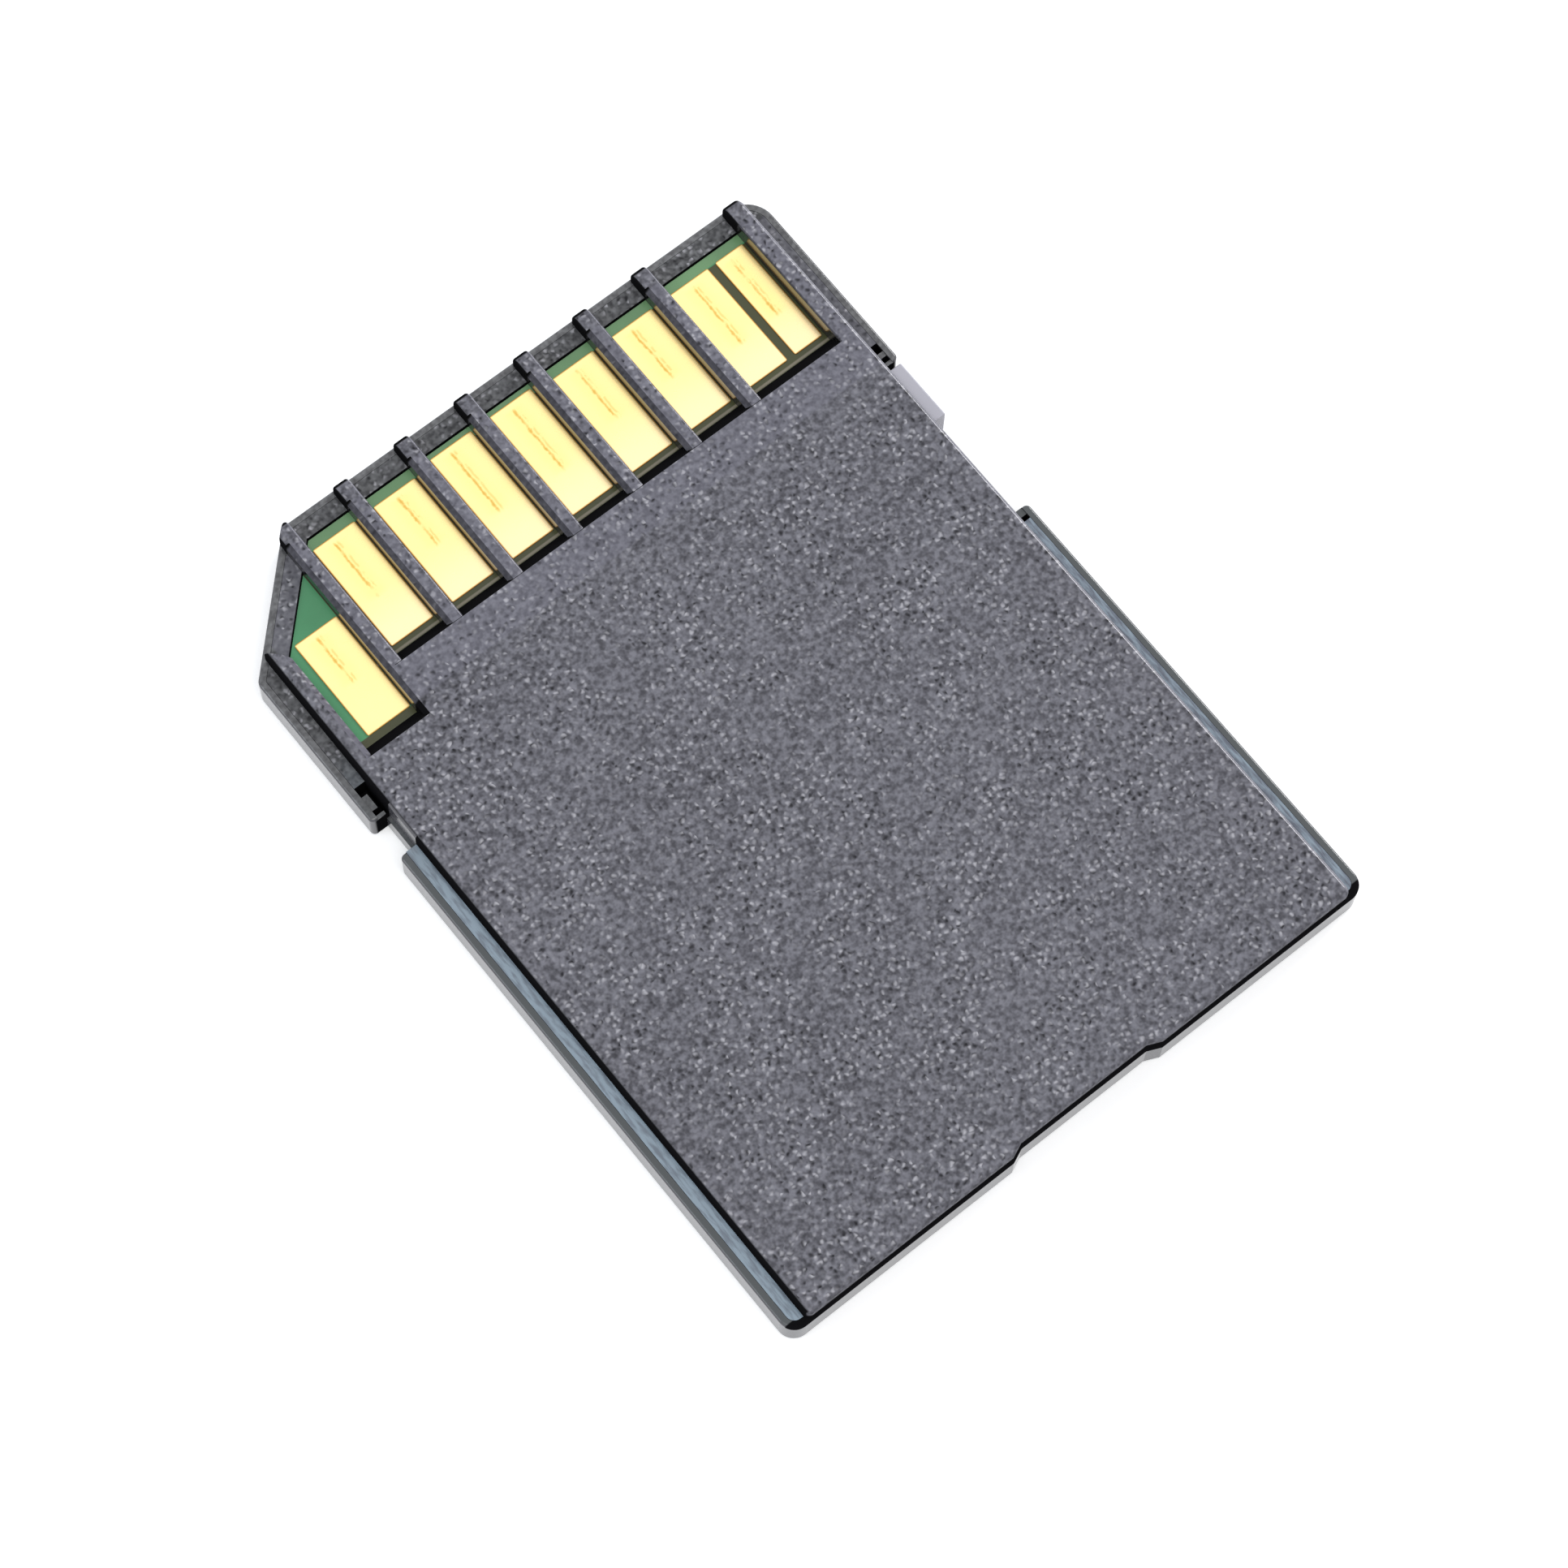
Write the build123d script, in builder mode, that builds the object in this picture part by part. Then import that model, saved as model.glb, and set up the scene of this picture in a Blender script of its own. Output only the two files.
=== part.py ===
"""Full-size memory card: two welded shells round a circuit board with nine contacts, and a lock slider.

Frame: millimetres, label face on z = 0, +Z out of the contact face, +Y towards the contact edge, +X towards
the slider. The origin is the middle of the label face.
"""
import os
from math import sqrt

from build123d import *

# Overall size
card_length = 32.0
card_width = 24.0
card_thickness = 2.1
rail_height = 1.4
rail_width = 0.7
corner_chamfer = 4.0
chamfer_radius = 0.4
front_radius = 1.1
rear_radius = 0.6

# Thumb notch in the trailing edge
thumb_notch_offset = 0.2
thumb_notch_width = 6.2
thumb_notch_depth = 0.22
thumb_notch_slope = 0.5

# Shell walls, fits and edge breaks
floor_thickness = 0.35
label_recess_depth = 0.08
label_recess_margin = 1.6
rim_width = 0.26
seam_gap = 0.012
crevice = 0.04
skirt_width = 0.4
rear_wall = 1.1
ledge_width = 0.87
roof_thickness = 0.38
block_inset = 0.06
block_round = 0.2
block_corner_radius = 0.25
rim_round = 0.1
foot_chamfer = 0.15

# Circuit board
board_thickness = 0.4
board_drop = 0.1
board_gap = 0.05
board_head_gap = 0.02
board_seat = 0.5

# Contacts: 1 to 6 in a row at one pitch, 7 and 8 closer together, 9 set back beside the cut corner. The two
# power contacts reach further forward, so that they meet the socket's springs first.
pad_thickness = 0.035
pitched_pads = 6
pad_left_clearance = 0.145
pad_right_clearance = 0.035
pad_length = 4.36
pad_setback = 0.38
power_pads = (3, 4)
power_pad_reach = 0.2
pad_7_width = 1.64
pad_8_width = 1.18
pad_gap_7_8 = 0.32
pad_9_length = 4.05
pad_9_corner_gap = 0.1
pad_corner_radius = 0.08

# Ribs and windows round the contacts
rib_width = 0.6
rib_drop = 0.05
rib_round = 0.1
rib_edge_break = 0.17
rib_nose_radius = 0.4
nose_inset = 0.05
left_rim = 0.64
right_rim = 0.7
left_window_margin = 0.41
right_window_margin = 0.09
window_margin = 0.3
window_ramp_run = 0.56
window_edge_break = 0.22
rim_end_setback = 0.2

# Lock notch in the left side, measured back from the leading edge
lock_notch_front = 10.2
lock_notch_length = 1.48
lock_notch_depth = 0.58
lock_pocket_length = 1.3
lock_post_length = 0.58
lock_post_setback = 0.34
lock_post_reach = 0.24

# Write-protect slot in the right side, measured back from the leading edge
slot_front = 7.92
slot_length = 6.8
slot_front_pocket = 0.87
slot_rear_pocket = 0.48
slot_bar_thickness = 0.2
slot_bar_setback = 0.33
slot_bar_reach = 0.26
end_wall = 0.13
rear_end_wall = 0.28
pocket_depth = 0.9
post_drop = 0.06
opening_corner_radius = 0.18

# Write-protect slider and the hooked channel that keeps it in
slider_length = 2.4
slider_end_gap = 0.2
slider_gap = 0.04
slider_inset = 0.08
slider_foot = 0.12
slider_round = 0.06
hook_length = 1.6
hook_width = 0.3
hook_height = 0.38
neck_length = 0.22
neck_height = 0.23

# Chips and passives on the board's hidden side
flash_width = 12.0
flash_length = 14.0
flash_margin = 1.6
controller_side = 6.5
controller_gap = 1.8
controller_offset = 3.0
chip_floor_gap = 0.1
chip_edge_break = 0.05
passive_length = 1.0
passive_width = 0.5
passive_pitch = 1.4
passive_row_gap = 2.4
passive_count = 4
capacitor_floor_gap = 0.15
resistor_floor_gap = 0.25

# Sizes that follow from those above
half_width = card_width / 2
half_length = card_length / 2
block_half = half_width - rail_width
rim_half = half_width - rim_width
shell_inset = rim_width + seam_gap
board_top = rail_height - board_drop
seat_height = board_top - board_thickness
roof_underside = board_top + board_head_gap
chamfer_line = half_length + half_width - corner_chamfer
pad_front_y = half_length - ledge_width - board_gap - pad_setback
window_left = -block_half + left_rim
window_right = block_half - right_rim
close_pads_width = pad_7_width + pad_gap_7_8 + pad_8_width
pitched_width = window_right - right_window_margin - close_pads_width - window_left - left_window_margin
pad_pitch = pitched_width / (pitched_pads + 1)
pad_width = pad_pitch - rib_width - pad_left_clearance - pad_right_clearance
pad_9_x = window_left + left_window_margin + pad_width / 2
board_chamfer_line = chamfer_line - (ledge_width + board_gap) * sqrt(2)
pad_9_front_y = board_chamfer_line + pad_9_x - pad_width / 2 - pad_9_corner_gap
first_rib_x = pad_9_x + pad_width / 2 + pad_right_clearance + rib_width / 2
rib_xs = [first_rib_x + pad_pitch * number for number in range(pitched_pads + 1)]
window_foot_y = pad_front_y - pad_length - window_margin
window_9_foot_y = pad_9_front_y - pad_9_length - window_margin
window_y = window_foot_y - window_ramp_run
window_9_y = window_9_foot_y - window_ramp_run
window_9_right = rib_xs[0] - rib_width / 2
slot_front_y = half_length - slot_front
slot_rear_y = slot_front_y - slot_length
slot_front_pocket_y = slot_front_y + slot_front_pocket
slot_rear_pocket_y = slot_rear_y - slot_rear_pocket
lock_front_y = half_length - lock_notch_front
lock_rear_y = lock_front_y - lock_notch_length
lock_pocket_y = lock_front_y + lock_pocket_length


def card_outline(inset=0.0):
    """Plan of the card: cut corner, rounded corners and the shallow thumb notch, moved in by inset."""
    notch_low = thumb_notch_offset - thumb_notch_width / 2
    notch_high = thumb_notch_offset + thumb_notch_width / 2
    notch_floor = -half_length + thumb_notch_depth
    with BuildSketch() as outline:
        with BuildLine():
            Polyline(
                (-half_width, -half_length),
                (notch_low, -half_length),
                (notch_low + thumb_notch_slope, notch_floor),
                (notch_high - thumb_notch_slope, notch_floor),
                (notch_high, -half_length),
                (half_width, -half_length),
                (half_width, half_length),
                (-half_width + corner_chamfer, half_length),
                (-half_width, half_length - corner_chamfer),
                close=True,
            )
        make_face()
        rear_corners = outline.vertices().group_by(Axis.Y)[0].sort_by(Axis.X)
        fillet([rear_corners[0], rear_corners[-1]], rear_radius)
        fillet(outline.vertices().group_by(Axis.Y)[-1].sort_by(Axis.X)[-1], front_radius)
        fillet(outline.vertices().group_by(Axis.Y)[-1].sort_by(Axis.X)[0], chamfer_radius)
        fillet(outline.vertices().group_by(Axis.X)[0].sort_by(Axis.Y)[-1], chamfer_radius)
        if inset:
            offset(amount=-inset, kind=Kind.INTERSECTION)
    return outline.sketch


def board_space(clear=0.0):
    """Plan of the space inside the back cover's skirt that the board lies in, moved in by clear."""
    side = block_half - skirt_width - clear
    rear = -half_length + rear_wall + clear
    front = half_length - ledge_width - clear
    line = chamfer_line - (ledge_width + clear) * sqrt(2)
    with BuildSketch() as space:
        with BuildLine():
            Polyline(
                (-side, rear),
                (side, rear),
                (side, front),
                (front - line, front),
                (-side, line - side),
                close=True,
            )
        make_face()
    return space.sketch


def block_plan():
    """Plan of the raised block: square behind the windows, with a rim beside the set-back window."""
    rim_end = chamfer_line - rim_end_setback
    with BuildSketch() as plan:
        with BuildLine():
            Polyline(
                (-block_half, -half_length),
                (block_half, -half_length),
                (block_half, window_y),
                (window_9_right, window_y),
                (window_9_right, window_9_y),
                (window_left, window_9_y),
                (window_left, rim_end - block_half - left_rim),
                (-block_half, rim_end - block_half),
                close=True,
            )
        make_face()
    return plan.sketch


def raised_block():
    """The raised block with its rounded sides and rear edge, which reaches out over the front cover's rim."""
    with BuildPart() as block:
        with BuildSketch(Plane.XY.offset(roof_underside)):
            add(block_plan())
            add(card_outline(block_inset), mode=Mode.INTERSECT)
        extrude(amount=card_thickness - roof_underside)
        rear_edges = block.edges().filter_by(Axis.Z).group_by(Axis.Y)[0].sort_by(Axis.X)
        fillet([rear_edges[0], rear_edges[-1]], block_corner_radius)
        top_edges = block.faces().sort_by(Axis.Z)[-1].outer_wire().edges()
        chamfer(top_edges.filter_by(Axis.Y).sort_by(Axis.X)[1], window_edge_break)
        top_edges = block.faces().sort_by(Axis.Z)[-1].outer_wire().edges()
        chamfer(top_edges.filter_by(Axis.Y).sort_by(Axis.X)[2], rib_edge_break)
        top_edges = block.faces().sort_by(Axis.Z)[-1].outer_wire().edges()
        side_edges = top_edges.filter_by(Axis.Y).sort_by(Axis.X)
        rear_edges = top_edges.filter_by(lambda edge: edge.center().Y < -half_length + rear_wall)
        fillet([side_edges[0], side_edges[-1]] + rear_edges, block_round)
    return block.part


def contact_rib(low_x, high_x, top, high_side_round, edge_break=0.0):
    """A rib between two windows, or the rim beside the last one: it ends over the ledge in a round nose.

    Along the window its low side may have a bevel, edge_break wide and high.
    """
    nose_y = half_length - nose_inset
    ledge_y = half_length - ledge_width
    with BuildPart() as rib:
        with BuildSketch(Plane.YZ.offset(low_x)):
            with BuildLine():
                Polyline(
                    (nose_y - rib_nose_radius, top),
                    (window_y, top),
                    (window_y, roof_underside),
                    (nose_y, roof_underside),
                    (nose_y, top - rib_nose_radius),
                )
                RadiusArc((nose_y, top - rib_nose_radius), (nose_y - rib_nose_radius, top), -rib_nose_radius)
            make_face()
        extrude(amount=high_x - low_x)
        for side_number, radius in ((0, rib_round), (-1, high_side_round)):
            side_edges = rib.faces().filter_by(Axis.X).sort_by(Axis.X)[side_number].edges()
            hidden_edges = side_edges.group_by(Axis.Z)[0] + side_edges.group_by(Axis.Y)[0]
            fillet(side_edges - hidden_edges, radius)
        if edge_break:
            with BuildSketch(Plane.XZ.offset(-ledge_y)):
                with BuildLine():
                    Polyline(
                        (low_x - edge_break, top - 2 * edge_break),
                        (low_x + 2 * edge_break, top + edge_break),
                        (low_x - edge_break, top + edge_break),
                        close=True,
                    )
                make_face()
            extrude(amount=ledge_y - window_y, mode=Mode.SUBTRACT)
        with BuildSketch(Plane.XY.offset(roof_underside)):
            add(card_outline(nose_inset))
        extrude(amount=card_thickness - roof_underside, mode=Mode.INTERSECT)
    return rib.part


def window_ramp(low_x, high_x, top_y, foot_y):
    """The slope behind a window, from the block's top down to the board."""
    with BuildPart() as ramp:
        with BuildSketch(Plane.YZ.offset(low_x)):
            with BuildLine():
                top = (top_y, card_thickness)
                Polyline(top, (top_y, roof_underside), (foot_y, roof_underside), close=True)
            make_face()
        extrude(amount=high_x - low_x)
    return ramp.part


def side_rectangle(side, inner_x, outer_x, low_y, high_y, mode=Mode.ADD):
    """A rectangle in the current sketch, on one side of the card, between two distances from its middle."""
    with Locations((side * (inner_x + outer_x) / 2, (low_y + high_y) / 2)):
        Rectangle(outer_x - inner_x, high_y - low_y, mode=mode)


def board_component(label, width, length, floor_gap, centre_x, centre_y):
    """A chip or passive soldered to the board's hidden side, clear of the tray's floor."""
    with BuildPart() as component:
        with BuildSketch(Plane.XY.offset(floor_thickness + floor_gap)):
            with Locations((centre_x, centre_y)):
                Rectangle(width, length)
        extrude(amount=seat_height - floor_thickness - floor_gap)
        chamfer(component.faces().sort_by(Axis.Z)[0].edges(), chip_edge_break)
    component.part.label = label
    return component


# Back cover: raised block, ribs and ramps round the contact windows, and the skirt inside the rim
hollow_half = block_half - skirt_width
hollow_rear_y = -half_length + rear_wall
with BuildPart() as back_cover:
    add(raised_block())
    rib_top = card_thickness - rib_drop
    for rib_x in rib_xs:
        add(contact_rib(rib_x - rib_width / 2, rib_x + rib_width / 2, rib_top, rib_round, rib_edge_break))
    add(contact_rib(window_right, block_half, card_thickness, block_round))
    add(window_ramp(rib_xs[0], window_right, window_y, window_foot_y))
    add(window_ramp(window_left, window_9_right, window_9_y, window_9_foot_y))
    # The skirt, with the front ledge and the bar along the cut corner
    with BuildSketch(Plane.XY.offset(seat_height)):
        add(card_outline(shell_inset))
        add(board_space(), mode=Mode.SUBTRACT)
    extrude(amount=rail_height - seat_height)
    # Space for the front cover's rim
    with BuildSketch(Plane.XY.offset(seat_height)):
        add(card_outline())
        add(card_outline(shell_inset), mode=Mode.SUBTRACT)
    extrude(amount=rail_height + crevice - seat_height, mode=Mode.SUBTRACT)
    # Gaps in the flange at the write-protect slot and the lock notch
    with BuildSketch(Plane.XY.offset(seat_height)):
        side_rectangle(1, block_half, half_width, slot_rear_pocket_y, slot_front_pocket_y)
        side_rectangle(-1, block_half, half_width, lock_rear_y, lock_pocket_y)
    extrude(amount=rail_height - seat_height, mode=Mode.SUBTRACT)
    # Hollow over the board
    with BuildSketch(Plane.XY.offset(roof_underside)):
        side_rectangle(1, -hollow_half, hollow_half, hollow_rear_y, window_9_y - roof_thickness)
        hollow_left = window_9_right + roof_thickness
        side_rectangle(1, hollow_left, hollow_half, hollow_rear_y, window_y - roof_thickness)
    extrude(amount=card_thickness - roof_thickness - roof_underside, mode=Mode.SUBTRACT)
back_cover.part.label = "back_cover"

# Front cover: a tray with the seat for the board, the rim, the side openings and the slider's channel
lock_wall_half = half_width - lock_notch_depth
neck_x = block_half - neck_length
channel_x = neck_x - hook_width - 2 * slider_gap
neck_floor = seat_height - neck_height - 2 * slider_gap
channel_floor = seat_height - hook_height - 2 * slider_gap
pocket_floor = rail_height - pocket_depth
bar_y = slot_front_y + slot_bar_setback
post_y = lock_front_y + lock_post_setback
with BuildPart() as front_cover:
    with BuildSketch() as tray_plan:
        add(card_outline())
        side_rectangle(1, block_half, card_width, slot_rear_y, slot_front_y, Mode.SUBTRACT)
        side_rectangle(-1, lock_wall_half, card_width, lock_rear_y, lock_front_y, Mode.SUBTRACT)
        slot_corners = tray_plan.vertices().group_by(Axis.X)[-1].sort_by(Axis.Y)[1:-1]
        lock_corners = tray_plan.vertices().group_by(Axis.X)[0].sort_by(Axis.Y)[1:-1]
        fillet(slot_corners + lock_corners, opening_corner_radius)
    extrude(amount=rail_height)
    fillet(front_cover.faces().sort_by(Axis.Z)[-1].outer_wire().edges(), rim_round)
    chamfer(front_cover.faces().sort_by(Axis.Z)[0].outer_wire().edges(), foot_chamfer)
    # Space inside the rim for the back cover and the board
    with BuildSketch(Plane.XY.offset(seat_height)):
        add(card_outline(rim_width))
    extrude(amount=rail_height - seat_height, mode=Mode.SUBTRACT)
    # Space for the chips
    with BuildSketch(Plane.XY.offset(floor_thickness)):
        add(board_space(board_gap + board_seat))
    extrude(amount=seat_height - floor_thickness, mode=Mode.SUBTRACT)
    # Shallow recess for a label
    with BuildSketch():
        add(board_space(label_recess_margin - rail_width - skirt_width))
    extrude(amount=label_recess_depth, mode=Mode.SUBTRACT)
    # Pockets beyond the ends of the slot and in front of the lock notch
    with BuildSketch(Plane.XY.offset(pocket_floor)):
        side_rectangle(1, block_half, rim_half, slot_front_y + end_wall, slot_front_pocket_y)
        side_rectangle(1, block_half, rim_half, slot_rear_pocket_y, slot_rear_y - rear_end_wall)
        side_rectangle(-1, block_half, rim_half, lock_front_y + end_wall, lock_pocket_y)
    extrude(amount=seat_height - pocket_floor, mode=Mode.SUBTRACT)
    # End walls, cross bar and post
    with BuildSketch(Plane.XY.offset(pocket_floor)):
        side_rectangle(1, block_half, rim_half, slot_front_y, slot_front_y + end_wall)
        side_rectangle(1, block_half, rim_half, slot_rear_y - rear_end_wall, slot_rear_y)
        side_rectangle(1, rim_half - slot_bar_reach, rim_half, bar_y, bar_y + slot_bar_thickness)
        side_rectangle(-1, lock_wall_half, rim_half, lock_front_y, lock_front_y + end_wall)
        side_rectangle(-1, rim_half - lock_post_reach, rim_half, post_y, post_y + lock_post_length)
    extrude(amount=rail_height - post_drop - pocket_floor)
    # Hooked channel for the slider
    with BuildSketch(Plane.XY.offset(neck_floor)):
        side_rectangle(1, neck_x, block_half, slot_rear_y, slot_front_y)
    extrude(amount=seat_height - neck_floor, mode=Mode.SUBTRACT)
    with BuildSketch(Plane.XY.offset(channel_floor)):
        side_rectangle(1, channel_x, neck_x, slot_rear_y, slot_front_y)
    extrude(amount=seat_height - channel_floor, mode=Mode.SUBTRACT)
front_cover.part.label = "front_cover"

# Circuit board
with BuildPart() as circuit_board:
    with BuildSketch(Plane.XY.offset(seat_height)):
        add(board_space(board_gap))
    extrude(amount=board_thickness)
circuit_board.part.label = "circuit_board"

# Contacts, in the order of their numbers
pad_7_x = rib_xs[-1] + rib_width / 2 + pad_left_clearance + pad_7_width / 2
pad_8_x = pad_7_x + pad_7_width / 2 + pad_gap_7_8 + pad_8_width / 2
pads = []
for number in range(1, pitched_pads + 1):
    reach = power_pad_reach if number in power_pads else 0
    pads.append((pad_9_x + pad_pitch * number, pad_width, pad_front_y + reach, pad_length + reach))
pads.append((pad_7_x, pad_7_width, pad_front_y, pad_length))
pads.append((pad_8_x, pad_8_width, pad_front_y, pad_length))
pads.append((pad_9_x, pad_width, pad_9_front_y, pad_9_length))
contact_pads = []
for number, (pad_x, width, front_y, length) in enumerate(pads, start=1):
    with BuildPart() as contact_pad:
        with BuildSketch(Plane.XY.offset(board_top)):
            with Locations((pad_x, front_y - length / 2)):
                RectangleRounded(width, length, pad_corner_radius)
        extrude(amount=pad_thickness)
    contact_pad.part.label = f"contact_pad_{number}"
    contact_pads.append(contact_pad)

# Write-protect slider: the thumb piece, its neck and the hook inside the channel
slider_front_y = slot_front_y - slider_end_gap
slider_rear_y = slider_front_y - slider_length
slider_inner_x = block_half + slider_gap
hook_outer_x = neck_x - slider_gap
hook_front_y = slider_front_y - (slider_length - hook_length) / 2
hook_rear_y = hook_front_y - hook_length
with BuildPart() as write_protect_slider:
    with BuildSketch(Plane.XY.offset(slider_foot)):
        side_rectangle(1, slider_inner_x, half_width - slider_inset, slider_rear_y, slider_front_y)
    extrude(amount=rail_height - slider_foot)
    fillet(write_protect_slider.edges(), slider_round)
    with BuildSketch(Plane.XY.offset(seat_height - slider_gap)):
        side_rectangle(1, hook_outer_x, slider_inner_x + slider_round, hook_rear_y, hook_front_y)
    extrude(amount=-neck_height)
    with BuildSketch(Plane.XY.offset(seat_height - slider_gap)):
        side_rectangle(1, hook_outer_x - hook_width, hook_outer_x, hook_rear_y, hook_front_y)
    extrude(amount=-hook_height)
write_protect_slider.part.label = "write_protect_slider"

# Chips and passives: the flash memory at the rear, the controller before it, two rows of passives beside that
chip_rear_y = -half_length + rear_wall + board_gap + board_seat
flash_y = chip_rear_y + flash_margin + flash_length / 2
controller_y = flash_y + flash_length / 2 + controller_gap + controller_side / 2
controller_x = -controller_offset
side = controller_side
components = [
    board_component("flash_memory_chip", flash_width, flash_length, chip_floor_gap, 0, flash_y),
    board_component("controller_chip", side, side, chip_floor_gap, controller_x, controller_y),
]
capacitor_y = controller_y + passive_row_gap / 2
resistor_y = controller_y - passive_row_gap / 2
for number in range(1, passive_count + 1):
    passive_x = controller_x + controller_side / 2 + passive_pitch * number
    for name, floor_gap, row_y in (
        ("capacitor", capacitor_floor_gap, capacitor_y),
        ("resistor", resistor_floor_gap, resistor_y),
    ):
        components.append(
            board_component(f"{name}_{number}", passive_length, passive_width, floor_gap, passive_x, row_y)
        )

os.makedirs("parts", exist_ok=True)
for piece in [back_cover, front_cover, circuit_board, write_protect_slider] + contact_pads + components:
    export_step(piece.part, f"parts/{piece.part.label}.step")
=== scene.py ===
"""Looks of a full-size memory card: charcoal shells, gold contacts, green board and a light grey slider."""
import math

import bpy
from mathutils import Matrix, Vector


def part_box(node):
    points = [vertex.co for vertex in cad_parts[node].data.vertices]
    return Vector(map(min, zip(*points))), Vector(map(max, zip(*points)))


MM = 0.001

# Camera: the photograph's viewing angle, in degrees and millimetres
CAMERA_TARGET = (-0.635, -1.472, 1.4)
CAMERA_AZIMUTH = -41.44
CAMERA_ELEVATION = 70.0
CAMERA_ROLL = 2.86
CAMERA_DISTANCE = 159.5
CAMERA_LENS = 112.1

# Levels and lines where the finishes change, in millimetres
RAIL_TOP = 1.4
SMOOTH_RAIL_END = 2.0
GRAINED_RAIL_START = 9.0
LEFT_SHEEN_HALF_WIDTH = 5.0
WINDOW_LEFT = -10.9
WINDOW_REAR = 8.0
WINDOW_FRONT = 15.1
TRAILING_RIM = -15.6
TRAILING_GRAIN_END = 1.75
TRAILING_BLACK_END = 1.2
NOTCH_INNER = -11.0
NOTCH_REAR = 4.32
NOTCH_FRONT = 5.8
POCKET_SIDE = 11.9
POCKET_TOP = 1.35
POCKET_REAR = 0.0
POCKET_FRONT = 9.8

# Other sizes, in millimetres
GRAIN_SIZE = 0.18
GRAIN_DEPTH = 0.015
MOTTLE_SIZE = 4.0
FLOOR_DROP = 0.01
FLOOR_SIZE = 4000.0

# The surround's strength as a light, and as the camera and reflections show it
SURROUND_LIGHT = 0.42
SURROUND_SEEN = 1.32

# Colours, as linear values
FACE_DARK = (0.078, 0.078, 0.091, 1.0)
FACE_LIGHT = (0.218, 0.22, 0.254, 1.0)
FRONT_DARK = (0.064, 0.065, 0.069, 1.0)
FRONT_LIGHT = (0.17, 0.175, 0.182, 1.0)
RAIL_SHEEN_DARK = (0.124, 0.144, 0.188, 1.0)
RAIL_SHEEN_LIGHT = (0.325, 0.418, 0.5, 1.0)
RIM_TOP = (0.078, 0.089, 0.093, 1.0)
WALL_BLACK = (0.008, 0.008, 0.009, 1.0)
WALL_CHARCOAL = (0.06, 0.06, 0.068, 1.0)
SIDE_GREY = (0.09, 0.09, 0.102, 1.0)
SPECK_GLINT = (0.6, 0.6, 0.65, 1.0)
PIT = (0.012, 0.012, 0.014, 1.0)
PAINTED_EDGE_LIGHT = (0.21, 0.21, 0.26, 1.0)
GOLD_FRONT = (1.0, 0.79, 0.345, 1.0)
GOLD_REAR = (1.0, 0.8, 0.445, 1.0)
GOLD_WARM = (1.0, 0.76, 0.28, 1.0)
GOLD_WORN = (0.62, 0.37, 0.06, 1.0)
GOLD_EDGE_SHADE = (0.4, 0.18, 0.02, 1.0)
MASK_GREEN = (0.08, 0.34, 0.15, 1.0)
MASK_OLIVE_SHADE = (0.045, 0.05, 0.012, 1.0)
MASK_LINE = (0.2, 0.18, 0.13, 1.0)
MASK_GOLD_REFLECTION = (0.15, 0.3, 0.14, 1.0)
SLIDER_GREY = (0.53, 0.53, 0.6, 1.0)
CHIP_BLACK = (0.015, 0.015, 0.016, 1.0)
CERAMIC_TAN = (0.36, 0.25, 0.15, 1.0)
FLOOR_WHITE = (0.94, 0.94, 0.95, 1.0)
FLOOR_GLOW = (0.38, 0.39, 0.39, 1.0)
NO_GLOW = (0.0, 0.0, 0.0, 1.0)
SURROUND_WHITE = (0.97, 0.97, 1.0, 1.0)
LAMP_WARM = (1.0, 0.98, 0.96)
LAMP_WHITE = (1.0, 1.0, 1.0)
LAMP_COOL = (0.85, 0.93, 1.0)


def new_material(name):
    """An empty node material with a Principled shader; returns the material, its nodes, links and shader."""
    material = bpy.data.materials.new(name)
    material.use_nodes = True
    nodes = material.node_tree.nodes
    links = material.node_tree.links
    shader = nodes["Principled BSDF"]
    return material, nodes, links, shader


def new_group(name, inputs, outputs):
    """A shader node group with named inputs (name, type, default) and value outputs."""
    group = bpy.data.node_groups.new(name, "ShaderNodeTree")
    for socket_name, socket_type, default in inputs:
        socket = group.interface.new_socket(socket_name, in_out="INPUT", socket_type=socket_type)
        socket.default_value = default
    for socket_name in outputs:
        group.interface.new_socket(socket_name, in_out="OUTPUT", socket_type="NodeSocketFloat")
    entry = group.nodes.new("NodeGroupInput")
    leave = group.nodes.new("NodeGroupOutput")
    return group, group.nodes, group.links, entry, leave


def feed(links, value, socket):
    """Sets a socket to a number or colour, or links another socket to it."""
    if isinstance(value, (int, float, tuple)):
        socket.default_value = value
    else:
        links.new(value, socket)


def math_node(nodes, links, operation, first, second=None):
    """A Math node; each operand is a number or a socket. Returns its output."""
    node = nodes.new("ShaderNodeMath")
    node.operation = operation
    feed(links, first, node.inputs[0])
    if second is not None:
        feed(links, second, node.inputs[1])
    return node.outputs[0]


def both(nodes, links, first, second):
    """Where two masks overlap, or a mask made weaker or stronger by a number."""
    return math_node(nodes, links, "MULTIPLY", first, second)


def either(nodes, links, first, second):
    """The stronger of two masks at each point."""
    return math_node(nodes, links, "MAXIMUM", first, second)


def ramp_between(nodes, links, value, low, high):
    """A smooth step from 0 at low to 1 at high."""
    node = nodes.new("ShaderNodeMapRange")
    node.interpolation_type = "SMOOTHSTEP"
    links.new(value, node.inputs["Value"])
    node.inputs["From Min"].default_value = low
    node.inputs["From Max"].default_value = high
    return node.outputs["Result"]


def past_line(nodes, links, value, line, soft):
    """0 up to a line, 1 beyond a soft edge, in millimetres; the edge's sign says on which side."""
    return ramp_between(nodes, links, value, line * MM, (line + soft) * MM)


def between_lines(nodes, links, value, low, high, soft):
    """1 between two lines, with a soft edge inside each; in millimetres."""
    after = past_line(nodes, links, value, low, soft)
    return both(nodes, links, after, past_line(nodes, links, value, high, -soft))


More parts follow.
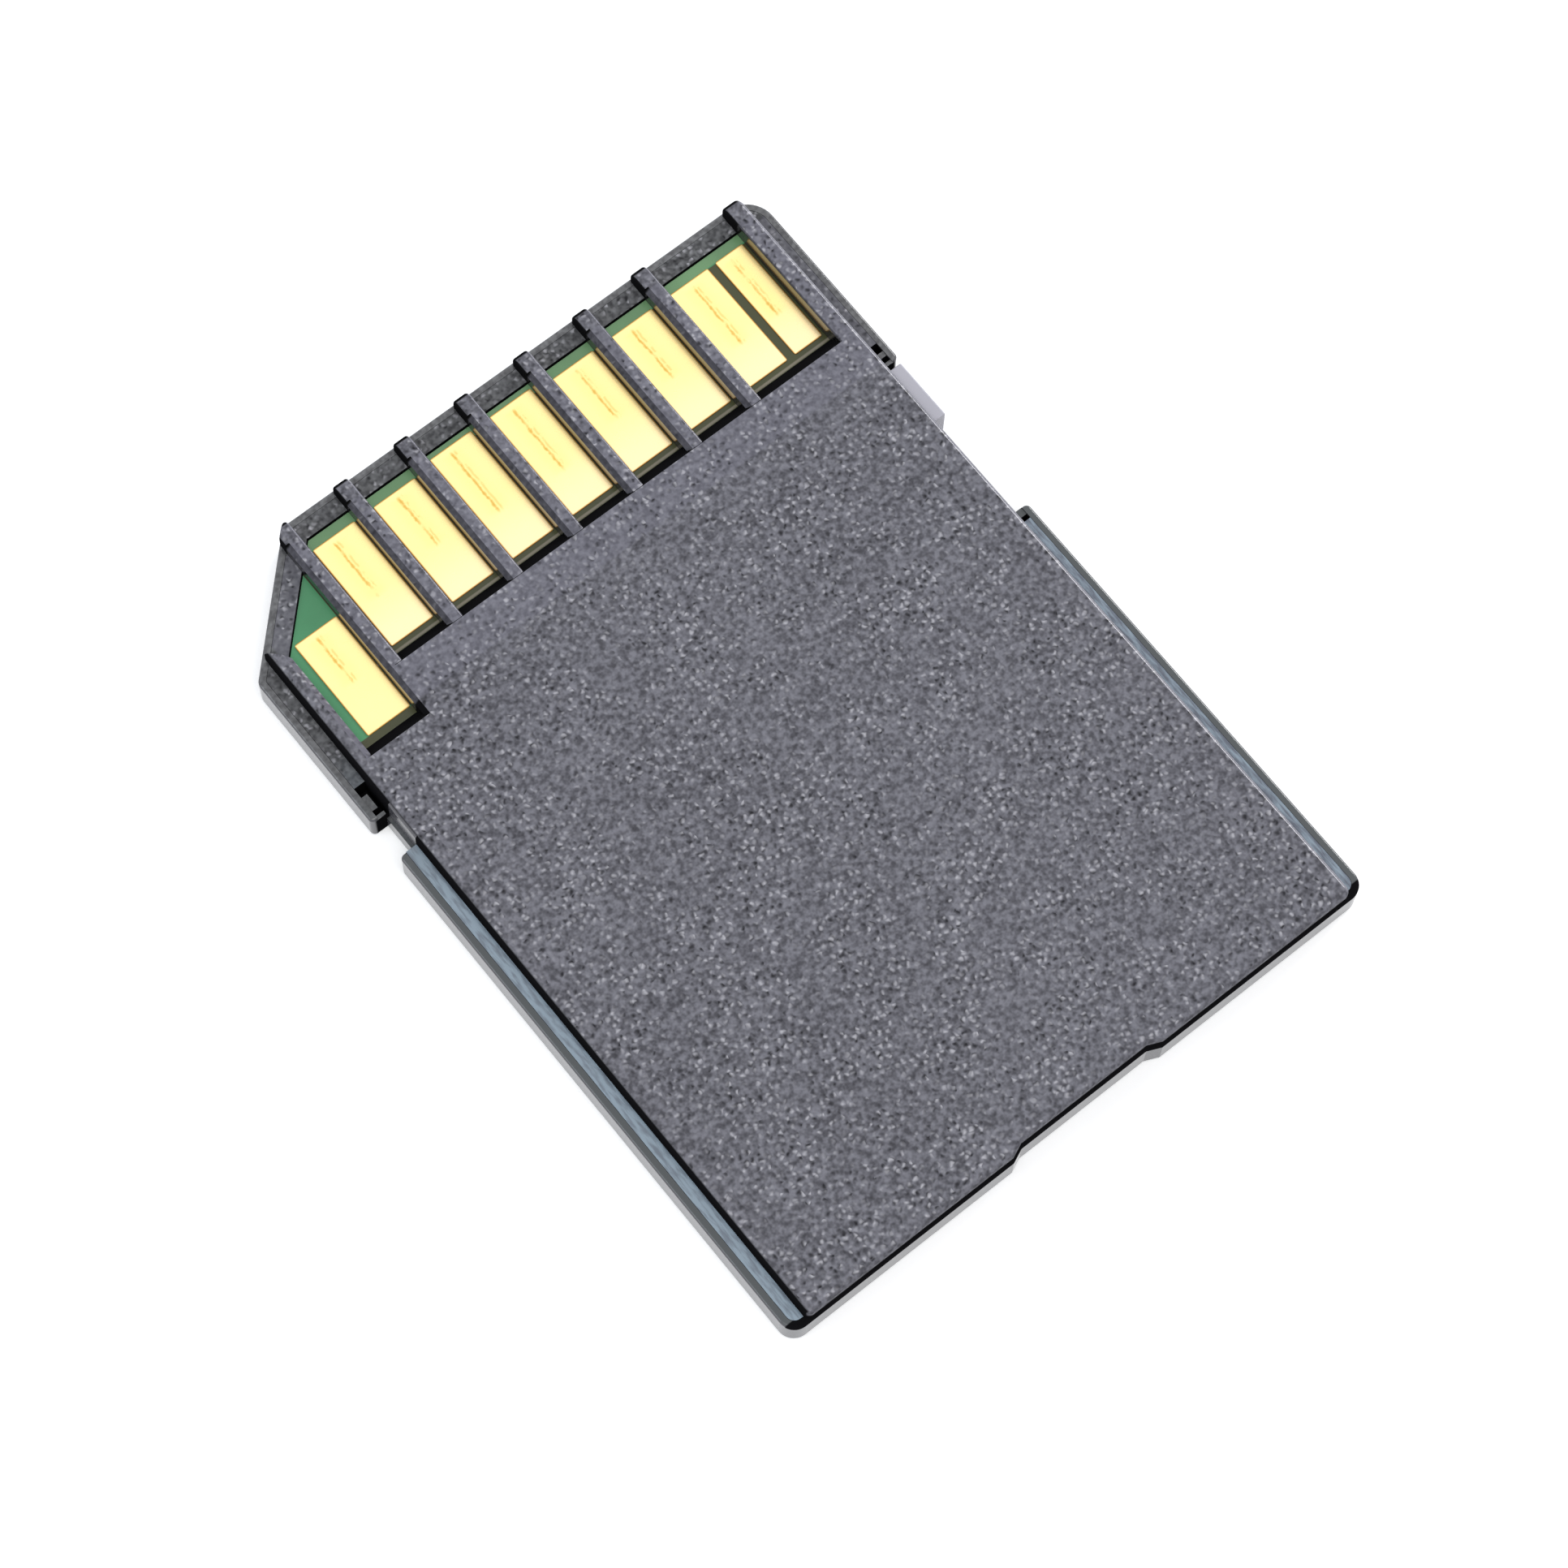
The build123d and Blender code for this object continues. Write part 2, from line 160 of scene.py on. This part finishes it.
def spread(nodes, links, value, low, high):
    """A value between low and high, as a mask goes from 0 to 1; low and high are numbers or sockets."""
    node = nodes.new("ShaderNodeMapRange")
    links.new(value, node.inputs["Value"])
    feed(links, low, node.inputs["To Min"])
    feed(links, high, node.inputs["To Max"])
    return node.outputs["Result"]


def rest_of(nodes, links, mask):
    """1 where a mask is 0, and 0 where it is 1."""
    return spread(nodes, links, mask, 1.0, 0.0)


def mix_colour(nodes, links, factor, first, second):
    """A colour mix; each colour is a tuple or a socket. Returns its output."""
    node = nodes.new("ShaderNodeMix")
    node.data_type = "RGBA"
    links.new(factor, node.inputs["Factor"])
    colour_inputs = [socket for socket in node.inputs if socket.type == "RGBA"]
    feed(links, first, colour_inputs[0])
    feed(links, second, colour_inputs[1])
    return [socket for socket in node.outputs if socket.type == "RGBA"][0]


def noise(nodes, links, vector, scale, detail):
    """A noise texture's value."""
    node = nodes.new("ShaderNodeTexNoise")
    links.new(vector, node.inputs["Vector"])
    feed(links, scale, node.inputs["Scale"])
    node.inputs["Detail"].default_value = detail
    return node.outputs["Fac"]


def bent_place(nodes, links, vector, fineness, shift):
    """Coordinates bent a little by a fine noise and moved aside, so that round cells come out uneven."""
    bend = nodes.new("ShaderNodeTexNoise")
    links.new(vector, bend.inputs["Vector"])
    links.new(fineness, bend.inputs["Scale"])
    bend.inputs["Detail"].default_value = 0.0
    bent = nodes.new("ShaderNodeVectorMath")
    bent.operation = "MULTIPLY_ADD"
    links.new(bend.outputs["Color"], bent.inputs[0])
    bent.inputs[1].default_value = (0.15 * MM, 0.15 * MM, 0.0)
    links.new(vector, bent.inputs[2])
    moved = nodes.new("ShaderNodeVectorMath")
    links.new(bent.outputs["Vector"], moved.inputs[0])
    moved.inputs[1].default_value = (shift * MM, shift * MM, 0.0)
    return moved.outputs["Vector"]


def dot_layer(nodes, links, vector, fineness, radius, share):
    """Soft dots, one to a cell, in a share of the cells and of different strength; returns their strength."""
    cells = nodes.new("ShaderNodeTexVoronoi")
    cells.voronoi_dimensions = "2D"
    links.new(vector, cells.inputs["Vector"])
    links.new(fineness, cells.inputs["Scale"])
    dot = ramp_between(nodes, links, cells.outputs["Distance"], radius, 0.0)
    chance = nodes.new("ShaderNodeSeparateColor")
    links.new(cells.outputs["Color"], chance.inputs["Color"])
    return both(nodes, links, dot, ramp_between(nodes, links, chance.outputs["Red"], 1.0 - share, 1.0))


def spark_grain_group():
    """Spark-eroded mould grain: a tone that goes up and down, specks that stand for bright glints, dark pits
    and a height.
    """
    group, nodes, links, entry, leave = new_group(
        "spark_grain",
        [("Vector", "NodeSocketVector", (0, 0, 0)), ("Grain Size", "NodeSocketFloat", GRAIN_SIZE * MM)],
        ["Tone", "Speck", "Pit", "Height"],
    )
    vector = entry.outputs["Vector"]
    fineness = math_node(nodes, links, "DIVIDE", 1.0, entry.outputs["Grain Size"])
    ripple = noise(nodes, links, vector, fineness, 1.0)
    tone = ramp_between(nodes, links, ripple, 0.2, 0.8)
    links.new(tone, leave.inputs["Tone"])
    # The specks and pits come in busy and calm patches
    busy = ramp_between(nodes, links, noise(nodes, links, vector, 700.0, 3.0), 0.25, 0.6)
    peaks = bent_place(nodes, links, vector, fineness, 0.0)
    cells = both(nodes, links, fineness, 0.75)
    speck_glint = both(nodes, links, dot_layer(nodes, links, peaks, cells, 0.45, 0.85), busy)
    links.new(speck_glint, leave.inputs["Speck"])
    hollows = bent_place(nodes, links, vector, fineness, 37.0)
    pit = both(nodes, links, dot_layer(nodes, links, hollows, cells, 0.5, 0.9), busy)
    links.new(pit, leave.inputs["Pit"])
    rise = math_node(nodes, links, "SUBTRACT", speck_glint, pit)
    links.new(math_node(nodes, links, "ADD", both(nodes, links, tone, 0.7), rise), leave.inputs["Height"])
    return group


def mottle_group():
    """Slow changes of tone over a moulded face."""
    group, nodes, links, entry, leave = new_group(
        "mottle",
        [("Vector", "NodeSocketVector", (0, 0, 0)), ("Patch Size", "NodeSocketFloat", MOTTLE_SIZE * MM)],
        ["Tone"],
    )
    scale = math_node(nodes, links, "DIVIDE", 1.0, entry.outputs["Patch Size"])
    patches = noise(nodes, links, entry.outputs["Vector"], scale, 4.0)
    links.new(ramp_between(nodes, links, patches, 0.3, 0.7), leave.inputs["Tone"])
    return group


def place_group(nodes, links, group, vector):
    """An instance of a node group, fed with object coordinates."""
    node = nodes.new("ShaderNodeGroup")
    node.node_tree = group
    links.new(vector, node.inputs["Vector"])
    return node


def surface_place(nodes, links):
    """Object coordinates and their three parts."""
    coordinates = nodes.new("ShaderNodeTexCoord")
    split = nodes.new("ShaderNodeSeparateXYZ")
    links.new(coordinates.outputs["Object"], split.inputs["Vector"])
    return coordinates.outputs["Object"], split


def surface_facing(nodes, links):
    """The three parts of the direction that the surface faces."""
    coordinates = nodes.new("ShaderNodeTexCoord")
    facing = nodes.new("ShaderNodeSeparateXYZ")
    links.new(coordinates.outputs["Normal"], facing.inputs["Vector"])
    return facing


def raise_grain(nodes, links, shader, height, depth):
    """Lets a height show in the light; depth in millimetres."""
    bump = nodes.new("ShaderNodeBump")
    bump.inputs["Strength"].default_value = 0.7
    bump.inputs["Distance"].default_value = depth * MM
    links.new(height, bump.inputs["Height"])
    links.new(bump.outputs["Normal"], shader.inputs["Normal"])


def streaks(nodes, links, place):
    """Long uneven streaks along the card, as on a rail that slides in a socket."""
    stretch = nodes.new("ShaderNodeMapping")
    stretch.vector_type = "TEXTURE"
    stretch.inputs["Scale"].default_value = (0.12 * MM, 0.7 * MM, 1.0)
    links.new(place, stretch.inputs["Vector"])
    return ramp_between(nodes, links, noise(nodes, links, stretch.outputs["Vector"], 1.0, 3.0), 0.28, 0.72)


def notch_place(nodes, links, split):
    """A mask of the left notch."""
    length = between_lines(nodes, links, split.outputs["Y"], NOTCH_REAR, NOTCH_FRONT, 0.02)
    return both(nodes, links, length, past_line(nodes, links, split.outputs["X"], NOTCH_INNER, -0.1))


def contact_side_plastic(grain, mottle):
    """Charcoal plastic of the contact side: grained face and front with painted glints, polished rear rails
    with a painted bluish sheen, matt walls painted black as shade apart from the charcoal ones towards +X and
    +Y, and edges towards +X painted light as highlights.
    """
    material, nodes, links, shader = new_material("shell_plastic_contact_side")
    place, split = surface_place(nodes, links)
    facing = surface_facing(nodes, links)
    # Where a surface faces: the slopes behind the windows and the edges towards -X count as walls and take
    # their painted shade
    upward = ramp_between(nodes, links, facing.outputs["Z"], 0.25, 0.6)
    upward = both(nodes, links, upward, ramp_between(nodes, links, facing.outputs["Y"], 0.6, 0.4))
    upward = both(nodes, links, upward, ramp_between(nodes, links, facing.outputs["X"], -0.65, -0.3))
    # The grain runs over the trailing edge and ends a little way down the wall
    strip = past_line(nodes, links, split.outputs["Y"], TRAILING_RIM, -0.05)
    over = both(nodes, links, strip, ramp_between(nodes, links, facing.outputs["Y"], -0.4, -0.7))
    above = past_line(nodes, links, split.outputs["Z"], TRAILING_GRAIN_END - 0.05, 0.05)
    over = both(nodes, links, over, above)
    flat = rest_of(nodes, links, over)
    upward = either(nodes, links, upward, over)
    raised = past_line(nodes, links, split.outputs["Z"], RAIL_TOP + 0.1, 0.2)
    front = ramp_between(nodes, links, split.outputs["Y"], SMOOTH_RAIL_END * MM, GRAINED_RAIL_START * MM)
    # The ribs' sides towards -X: a smooth wall that mirrors the gold, under a bevel with half the grain
    windows = between_lines(nodes, links, split.outputs["Y"], WINDOW_REAR, WINDOW_FRONT, 0.1)
    windows = both(nodes, links, windows, past_line(nodes, links, split.outputs["X"], WINDOW_LEFT, 0.1))
    ribs = both(nodes, links, windows, ramp_between(nodes, links, facing.outputs["X"], -0.3, -0.6))
    smooth = both(nodes, links, ribs, ramp_between(nodes, links, facing.outputs["Z"], 0.6, 0.3))
    bevel = both(nodes, links, ribs, ramp_between(nodes, links, facing.outputs["Z"], 0.3, 0.6))
    bevel = both(nodes, links, bevel, 0.5)
    eroded = place_group(nodes, links, grain, place)
    toned = place_group(nodes, links, mottle, place)
    grained = both(nodes, links, upward, either(nodes, links, raised, front))
    grained = either(nodes, links, grained, bevel)
    # The specks and pits are laid out flat, so they end where the trailing edge turns down
    dotted = both(nodes, links, grained, flat)
    drift = spread(nodes, links, toned.outputs["Tone"], -0.05, 0.05)
    drift = math_node(nodes, links, "ADD", eroded.outputs["Tone"], drift)
    face = mix_colour(nodes, links, drift, FACE_DARK, FACE_LIGHT)
    ledge = mix_colour(nodes, links, eroded.outputs["Tone"], FRONT_DARK, FRONT_LIGHT)
    # Painted sheen: the rails are painted a bluish grey that is lighter in uneven streaks, and the left rail
    # is painted lighter than the right one
    leftward = ramp_between(nodes, links, split.outputs["X"], LEFT_SHEEN_HALF_WIDTH * MM, -LEFT_SHEEN_HALF_WIDTH * MM)
    left_sheen = spread(nodes, links, leftward, -0.15, 0.3)
    streak_and_sheen = math_node(nodes, links, "ADD", streaks(nodes, links, place), left_sheen)
    rails = mix_colour(nodes, links, streak_and_sheen, RAIL_SHEEN_DARK, RAIL_SHEEN_LIGHT)
    level = mix_colour(nodes, links, raised, mix_colour(nodes, links, front, rails, ledge), face)
    # Painted highlight: the rounded edges towards +X are painted light, and the ribs' tops a little lighter
    edge = ramp_between(nodes, links, facing.outputs["X"], 0.2, 0.45)
    edge = both(nodes, links, both(nodes, links, edge, upward), both(nodes, links, raised, flat))
    edge_light = either(nodes, links, both(nodes, links, edge, 0.8), both(nodes, links, windows, 0.35))
    level = mix_colour(nodes, links, edge_light, level, PAINTED_EDGE_LIGHT)
    pit = both(nodes, links, both(nodes, links, eroded.outputs["Pit"], dotted), 0.95)
    level = mix_colour(nodes, links, pit, level, PIT)
    # Painted glints: the grain's specks are painted bright
    speck_glint = both(nodes, links, both(nodes, links, eroded.outputs["Speck"], dotted), 0.7)
    level = mix_colour(nodes, links, speck_glint, level, SPECK_GLINT)
    # Painted shade: the walls are painted black, and only the walls towards +X and +Y stay charcoal, apart
    # from the slopes behind the windows and the thumb notch
    ahead = ramp_between(nodes, links, facing.outputs["Y"], 0.2, 0.6)
    ahead = both(nodes, links, ahead, ramp_between(nodes, links, facing.outputs["Z"], 0.3, 0.1))
    away = either(nodes, links, ahead, ramp_between(nodes, links, facing.outputs["X"], 0.2, 0.6))
    away = both(nodes, links, away, rest_of(nodes, links, strip))
    wall = mix_colour(nodes, links, away, WALL_BLACK, WALL_CHARCOAL)
    # The wall in the left notch is as smooth as the card's sides
    notch = notch_place(nodes, links, split)
    notch = both(nodes, links, notch, ramp_between(nodes, links, facing.outputs["X"], -0.5, -0.8))
    wall = mix_colour(nodes, links, notch, wall, SIDE_GREY)
    smooth = either(nodes, links, smooth, notch)
    lit = either(nodes, links, upward, bevel)
    links.new(mix_colour(nodes, links, lit, wall, level), shader.inputs["Base Color"])
    level_roughness = spread(nodes, links, grained, 0.3, 0.6)
    links.new(spread(nodes, links, upward, 0.8, level_roughness), shader.inputs["Roughness"])
    # Gloss lies on the rails, the edges towards +X and smooth walls, a little on the grain, and on no other
    # wall
    gloss = spread(nodes, links, grained, 1.0, 0.15)
    gloss = both(nodes, links, either(nodes, links, gloss, edge), upward)
    links.new(either(nodes, links, gloss, smooth), shader.inputs["Coat Weight"])
    shader.inputs["Coat Roughness"].default_value = 0.2
    shader.inputs["Specular IOR Level"].default_value = 0.0
    raise_grain(nodes, links, shader, both(nodes, links, eroded.outputs["Height"], dotted), GRAIN_DEPTH)
    return material


def label_side_plastic(grain, mottle):
    """Charcoal plastic of the label side: satin rim, walls and underside."""
    material, nodes, links, shader = new_material("shell_plastic_label_side")
    place, split = surface_place(nodes, links)
    facing = surface_facing(nodes, links)
    upward = ramp_between(nodes, links, facing.outputs["Z"], 0.55, 0.95)
    front = ramp_between(nodes, links, split.outputs["Y"], SMOOTH_RAIL_END * MM, GRAINED_RAIL_START * MM)
    eroded = place_group(nodes, links, grain, place)
    toned = place_group(nodes, links, mottle, place)
    grained = both(nodes, links, upward, front)
    ledge = mix_colour(nodes, links, eroded.outputs["Tone"], FRONT_DARK, FRONT_LIGHT)
    rim = mix_colour(nodes, links, front, RIM_TOP, ledge)
    # Painted shade: the gaps beside the notch and the slider's slot are painted black inside; the rim's
    # trailing edge is black too
    width = math_node(nodes, links, "ABSOLUTE", split.outputs["X"])
    pocket = past_line(nodes, links, width, POCKET_SIDE, -0.1)
    pocket = both(nodes, links, pocket, past_line(nodes, links, split.outputs["Z"], POCKET_TOP, -0.1))
    pocket = both(nodes, links, pocket, ramp_between(nodes, links, facing.outputs["Z"], -0.9, -0.5))
    length = between_lines(nodes, links, split.outputs["Y"], POCKET_REAR, POCKET_FRONT, 0.3)
    pocket = both(nodes, links, pocket, length)
    pocket = both(nodes, links, pocket, rest_of(nodes, links, notch_place(nodes, links, split)))
    trailing = past_line(nodes, links, split.outputs["Y"], TRAILING_RIM, -0.05)
    above = past_line(nodes, links, split.outputs["Z"], TRAILING_BLACK_END, 0.05)
    trailing = both(nodes, links, trailing, above)
    black = either(nodes, links, pocket, trailing)
    outside = mix_colour(nodes, links, upward, SIDE_GREY, rim)
    links.new(mix_colour(nodes, links, black, outside, WALL_BLACK), shader.inputs["Base Color"])
    links.new(rest_of(nodes, links, black), shader.inputs["Coat Weight"])
    shader.inputs["Coat Roughness"].default_value = 0.12
    shader.inputs["Specular IOR Level"].default_value = 0.0
    worn = spread(nodes, links, toned.outputs["Tone"], 0.26, 0.36)
    links.new(spread(nodes, links, grained, worn, 0.5), shader.inputs["Roughness"])
    raise_grain(nodes, links, shader, both(nodes, links, eroded.outputs["Height"], grained), GRAIN_DEPTH)
    return material


def darkened(colour, share):
    """A colour cut down to a share of its light."""
    return tuple(channel * share for channel in colour[:3]) + (1.0,)


def plain_finish(name, colour, mottle, roughness, dark_share):
    """A smooth finish whose colour drifts a little towards a darker tone, given as a share of the colour."""
    material, nodes, links, shader = new_material(name)
    coordinates = nodes.new("ShaderNodeTexCoord")
    toned = place_group(nodes, links, mottle, coordinates.outputs["Object"])
    drifting = mix_colour(nodes, links, toned.outputs["Tone"], darkened(colour, dark_share), colour)
    links.new(drifting, shader.inputs["Base Color"])
    shader.inputs["Roughness"].default_value = roughness
    return material


def board_mask(mottle):
    """Green solder mask, with painted shade behind and between the contacts, darker and olive there, and a
    painted reflection of the gold in front of them.
    """
    material, nodes, links, shader = new_material("board_mask")
    place, split = surface_place(nodes, links)
    toned = place_group(nodes, links, mottle, place)
    green = mix_colour(nodes, links, toned.outputs["Tone"], darkened(MASK_GREEN, 0.75), MASK_GREEN)
    across = split.outputs["X"]
    along = split.outputs["Y"]
    row_low, row_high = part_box("contact_pad_1")
    corner_low, corner_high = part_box("contact_pad_9")
    # Painted shade: the mask is darker and olive behind and between the contacts
    row = ramp_between(nodes, links, across, corner_high[0], corner_high[0] + 0.02 * MM)
    olive = both(nodes, links, row, ramp_between(nodes, links, along, row_high[1], row_high[1] - 0.04 * MM))
    corner = ramp_between(nodes, links, along, corner_low[1] + 0.02 * MM, corner_low[1] - 0.02 * MM)
    olive = either(nodes, links, olive, corner)
    board = mix_colour(nodes, links, olive, green, MASK_OLIVE_SHADE)
    # Painted reflection: in front of the row the mask is painted a little yellower, with the gold's colour
    ahead = ramp_between(nodes, links, along, row_high[1], row_high[1] + 0.04 * MM)
    board = mix_colour(nodes, links, both(nodes, links, row, ahead), board, MASK_GOLD_REFLECTION)
    # A thin bare line runs behind the row of contacts
    line = math_node(nodes, links, "SUBTRACT", along, row_low[1] - 0.22 * MM)
    line = ramp_between(nodes, links, math_node(nodes, links, "ABSOLUTE", line), 0.07 * MM, 0.02 * MM)
    board = mix_colour(nodes, links, both(nodes, links, line, row), board, MASK_LINE)
    links.new(board, shader.inputs["Base Color"])
    shader.inputs["Roughness"].default_value = 0.3
    return material


def contact_gold(node_name, number):
    """Gold plate on one contact, with the wipe mark that a spring leaves along its middle."""
    low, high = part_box(node_name)
    width = (high[0] - low[0]) / MM
    length = (high[1] - low[1]) / MM
    material, nodes, links, shader = new_material(f"contact_gold_{number}")
    coordinates = nodes.new("ShaderNodeTexCoord")
    mapping = nodes.new("ShaderNodeMapping")
    mapping.vector_type = "TEXTURE"
    mapping.inputs["Location"].default_value = ((low[0] + high[0]) / 2, high[1], high[2])
    mapping.inputs["Scale"].default_value = (MM, MM, MM)
    links.new(coordinates.outputs["Object"], mapping.inputs["Vector"])
    split = nodes.new("ShaderNodeSeparateXYZ")
    links.new(mapping.outputs["Vector"], split.inputs["Vector"])
    across = split.outputs["X"]
    along = split.outputs["Y"]
    wander = nodes.new("ShaderNodeTexNoise")
    wander.noise_dimensions = "4D"
    links.new(mapping.outputs["Vector"], wander.inputs["Vector"])
    wander.inputs["W"].default_value = 3.7 * number
    wander.inputs["Scale"].default_value = 2.2
    wander.inputs["Detail"].default_value = 3.0
    drift = both(nodes, links, math_node(nodes, links, "SUBTRACT", wander.outputs["Fac"], 0.5), 0.16)
    shake = nodes.new("ShaderNodeTexNoise")
    links.new(mapping.outputs["Vector"], shake.inputs["Vector"])
    shake.inputs["Scale"].default_value = 6.0
    uneven = both(nodes, links, math_node(nodes, links, "SUBTRACT", shake.outputs["Fac"], 0.5), 0.12)
    # Each contact's marks lie and end a little differently: a main stroke and a fainter one beside it
    aside = 0.08 + 0.08 * math.sin(2.4 * number)
    reach = 0.58 + 0.07 * math.cos(1.7 * number)
    moved = math_node(nodes, links, "ADD", math_node(nodes, links, "ADD", across, drift), aside)
    offset = math_node(nodes, links, "ABSOLUTE", moved)
    second = math_node(nodes, links, "ABSOLUTE", math_node(nodes, links, "SUBTRACT", moved, 0.14))
    start = ramp_between(nodes, links, along, -0.15, -0.35)
    end = ramp_between(nodes, links, along, -(reach + 0.06) * length, -reach * length)
    run = both(nodes, links, start, end)
    # The strokes are thick and thin along their way
    thick = math_node(nodes, links, "ADD", offset, uneven)
    faint = both(nodes, links, ramp_between(nodes, links, second, 0.07, 0.0), 0.5)
    faint = both(nodes, links, faint, ramp_between(nodes, links, wander.outputs["Fac"], 0.45, 0.55))
    marks = either(nodes, links, ramp_between(nodes, links, thick, 0.08, 0.0), faint)
    wipe = both(nodes, links, marks, run)
    strokes = ramp_between(nodes, links, wander.outputs["Fac"], 0.3, 0.55)
    warm = both(nodes, links, ramp_between(nodes, links, offset, 0.55, 0.05), run)
    # How far a point is from the nearest side of the plate
    side = math_node(nodes, links, "SUBTRACT", width / 2, math_node(nodes, links, "ABSOLUTE", across))
    lead = math_node(nodes, links, "MULTIPLY", along, -1.0)
    tail = math_node(nodes, links, "ADD", along, length)
    inside = math_node(nodes, links, "MINIMUM", side, math_node(nodes, links, "MINIMUM", lead, tail))
    # Painted shade: a dark brown border runs along the plate's sides
    edge_shade = ramp_between(nodes, links, inside, 0.06, 0.0)
    # The plate is paler towards its rear, the corner contact's hardly
    paler = 0.2 if number == 9 else 1.0
    rearward = both(nodes, links, ramp_between(nodes, links, along, -0.5 * length, -0.95 * length), paler)
    plate = mix_colour(nodes, links, rearward, GOLD_FRONT, GOLD_REAR)
    plate = mix_colour(nodes, links, both(nodes, links, warm, 0.6), plate, GOLD_WARM)
    worn = both(nodes, links, both(nodes, links, wipe, strokes), 0.85)
    plate = mix_colour(nodes, links, worn, plate, GOLD_WORN)
    links.new(mix_colour(nodes, links, edge_shade, plate, GOLD_EDGE_SHADE), shader.inputs["Base Color"])
    shader.inputs["Metallic"].default_value = 1.0
    links.new(spread(nodes, links, wander.outputs["Fac"], 0.22, 0.32), shader.inputs["Roughness"])
    return material


def give(node_name, material):
    """Puts a finish on a node of the frame."""
    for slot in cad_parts[node_name].material_slots:
        slot.material = material


def add_camera():
    """The camera, looking at the card from the photograph's angle."""
    azimuth = math.radians(CAMERA_AZIMUTH)
    elevation = math.radians(CAMERA_ELEVATION)
    back = Vector((
        math.sin(azimuth) * math.cos(elevation),
        -math.cos(azimuth) * math.cos(elevation),
        math.sin(elevation),
    ))
    target = Vector(CAMERA_TARGET) * MM
    bpy.ops.object.camera_add(location=target + back * CAMERA_DISTANCE * MM)
    camera = bpy.context.object
    turn = (-back).to_track_quat("-Z", "Y").to_matrix() @ Matrix.Rotation(math.radians(CAMERA_ROLL), 3, "Z")
    camera.rotation_euler = turn.to_euler()
    camera.data.lens = CAMERA_LENS
    camera.data.sensor_width = 36.0
    camera.data.clip_start = 0.001
    camera.data.clip_end = 10.0
    bpy.context.scene.camera = camera


def add_area_light(name, direction, distance, size, power, colour):
    """A soft studio lamp that looks at the card's middle; distance and size in millimetres."""
    place = Vector(direction).normalized() * distance * MM
    bpy.ops.object.light_add(type="AREA", location=place)
    lamp = bpy.context.object
    lamp.name = name
    lamp.data.size = size * MM
    lamp.data.energy = power
    lamp.data.color = colour
    lamp.rotation_euler = (-place).to_track_quat("-Z", "Y").to_euler()


def seen_directly(nodes, links):
    """1 for what the camera, a reflection or clear material shows, 0 for light that falls on things."""
    path = nodes.new("ShaderNodeLightPath")
    seen = either(nodes, links, path.outputs["Is Camera Ray"], path.outputs["Is Glossy Ray"])
    return either(nodes, links, seen, path.outputs["Is Transmission Ray"])


def add_world():
    """A soft white surround: bright to the camera and in reflections, dimmer as a light."""
    world = bpy.data.worlds.new("soft_surround")
    world.use_nodes = True
    bpy.context.scene.world = world
    nodes = world.node_tree.nodes
    links = world.node_tree.links
    background = nodes["Background"]
    background.inputs["Color"].default_value = SURROUND_WHITE
    strength = spread(nodes, links, seen_directly(nodes, links), SURROUND_LIGHT, SURROUND_SEEN)
    links.new(strength, background.inputs["Strength"])


def add_floor():
    """A wide pale floor under the card, white to the camera apart from the card's shadow."""
    bpy.ops.mesh.primitive_plane_add(size=FLOOR_SIZE * MM, location=(0, 0, -FLOOR_DROP * MM))
    floor = bpy.context.object
    floor.name = "floor"
    bpy.ops.object.transform_apply(location=True)
    material, nodes, links, shader = new_material("floor_white")
    shader.inputs["Base Color"].default_value = FLOOR_WHITE
    shader.inputs["Roughness"].default_value = 0.9
    shader.inputs["Specular IOR Level"].default_value = 0.0
    glow = mix_colour(nodes, links, seen_directly(nodes, links), NO_GLOW, FLOOR_GLOW)
    links.new(glow, shader.inputs["Emission Color"])
    shader.inputs["Emission Strength"].default_value = 1.0
    floor.data.materials.append(material)


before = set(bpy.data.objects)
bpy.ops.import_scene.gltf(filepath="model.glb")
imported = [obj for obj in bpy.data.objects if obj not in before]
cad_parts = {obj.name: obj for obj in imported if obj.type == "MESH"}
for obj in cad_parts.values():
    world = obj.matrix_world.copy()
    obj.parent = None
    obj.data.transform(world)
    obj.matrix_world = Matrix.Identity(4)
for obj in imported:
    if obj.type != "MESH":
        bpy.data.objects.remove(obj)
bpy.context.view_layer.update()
bpy.ops.object.select_all(action="DESELECT")
bpy.context.scene.view_settings.view_transform = "Standard"

grain = spark_grain_group()
mottle = mottle_group()
give("back_cover", contact_side_plastic(grain, mottle))
give("front_cover", label_side_plastic(grain, mottle))
give("circuit_board", board_mask(mottle))
slider = plain_finish("slider_plastic", SLIDER_GREY, mottle, roughness=0.4, dark_share=0.93)
give("write_protect_slider", slider)
package = plain_finish("chip_package", CHIP_BLACK, mottle, roughness=0.5, dark_share=0.8)
ceramic = plain_finish("capacitor_ceramic", CERAMIC_TAN, mottle, roughness=0.5, dark_share=0.8)
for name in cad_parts:
    if name.startswith("contact_pad_"):
        give(name, contact_gold(name, int(name.split("_")[-1])))
    elif name.startswith("capacitor"):
        give(name, ceramic)
    elif name.startswith("resistor") or name.endswith("chip"):
        give(name, package)

add_camera()
add_world()
add_area_light("key_lamp", (-0.15, -0.3, 0.94), distance=360, size=230, power=0.5, colour=LAMP_WARM)
add_area_light("rim_lamp", (0.866, 0.204, 0.458), distance=350, size=110, power=0.53, colour=LAMP_WHITE)
add_area_light("fill_lamp", (-0.75, 0.3, 0.58), distance=350, size=160, power=0.21, colour=LAMP_COOL)
add_floor()
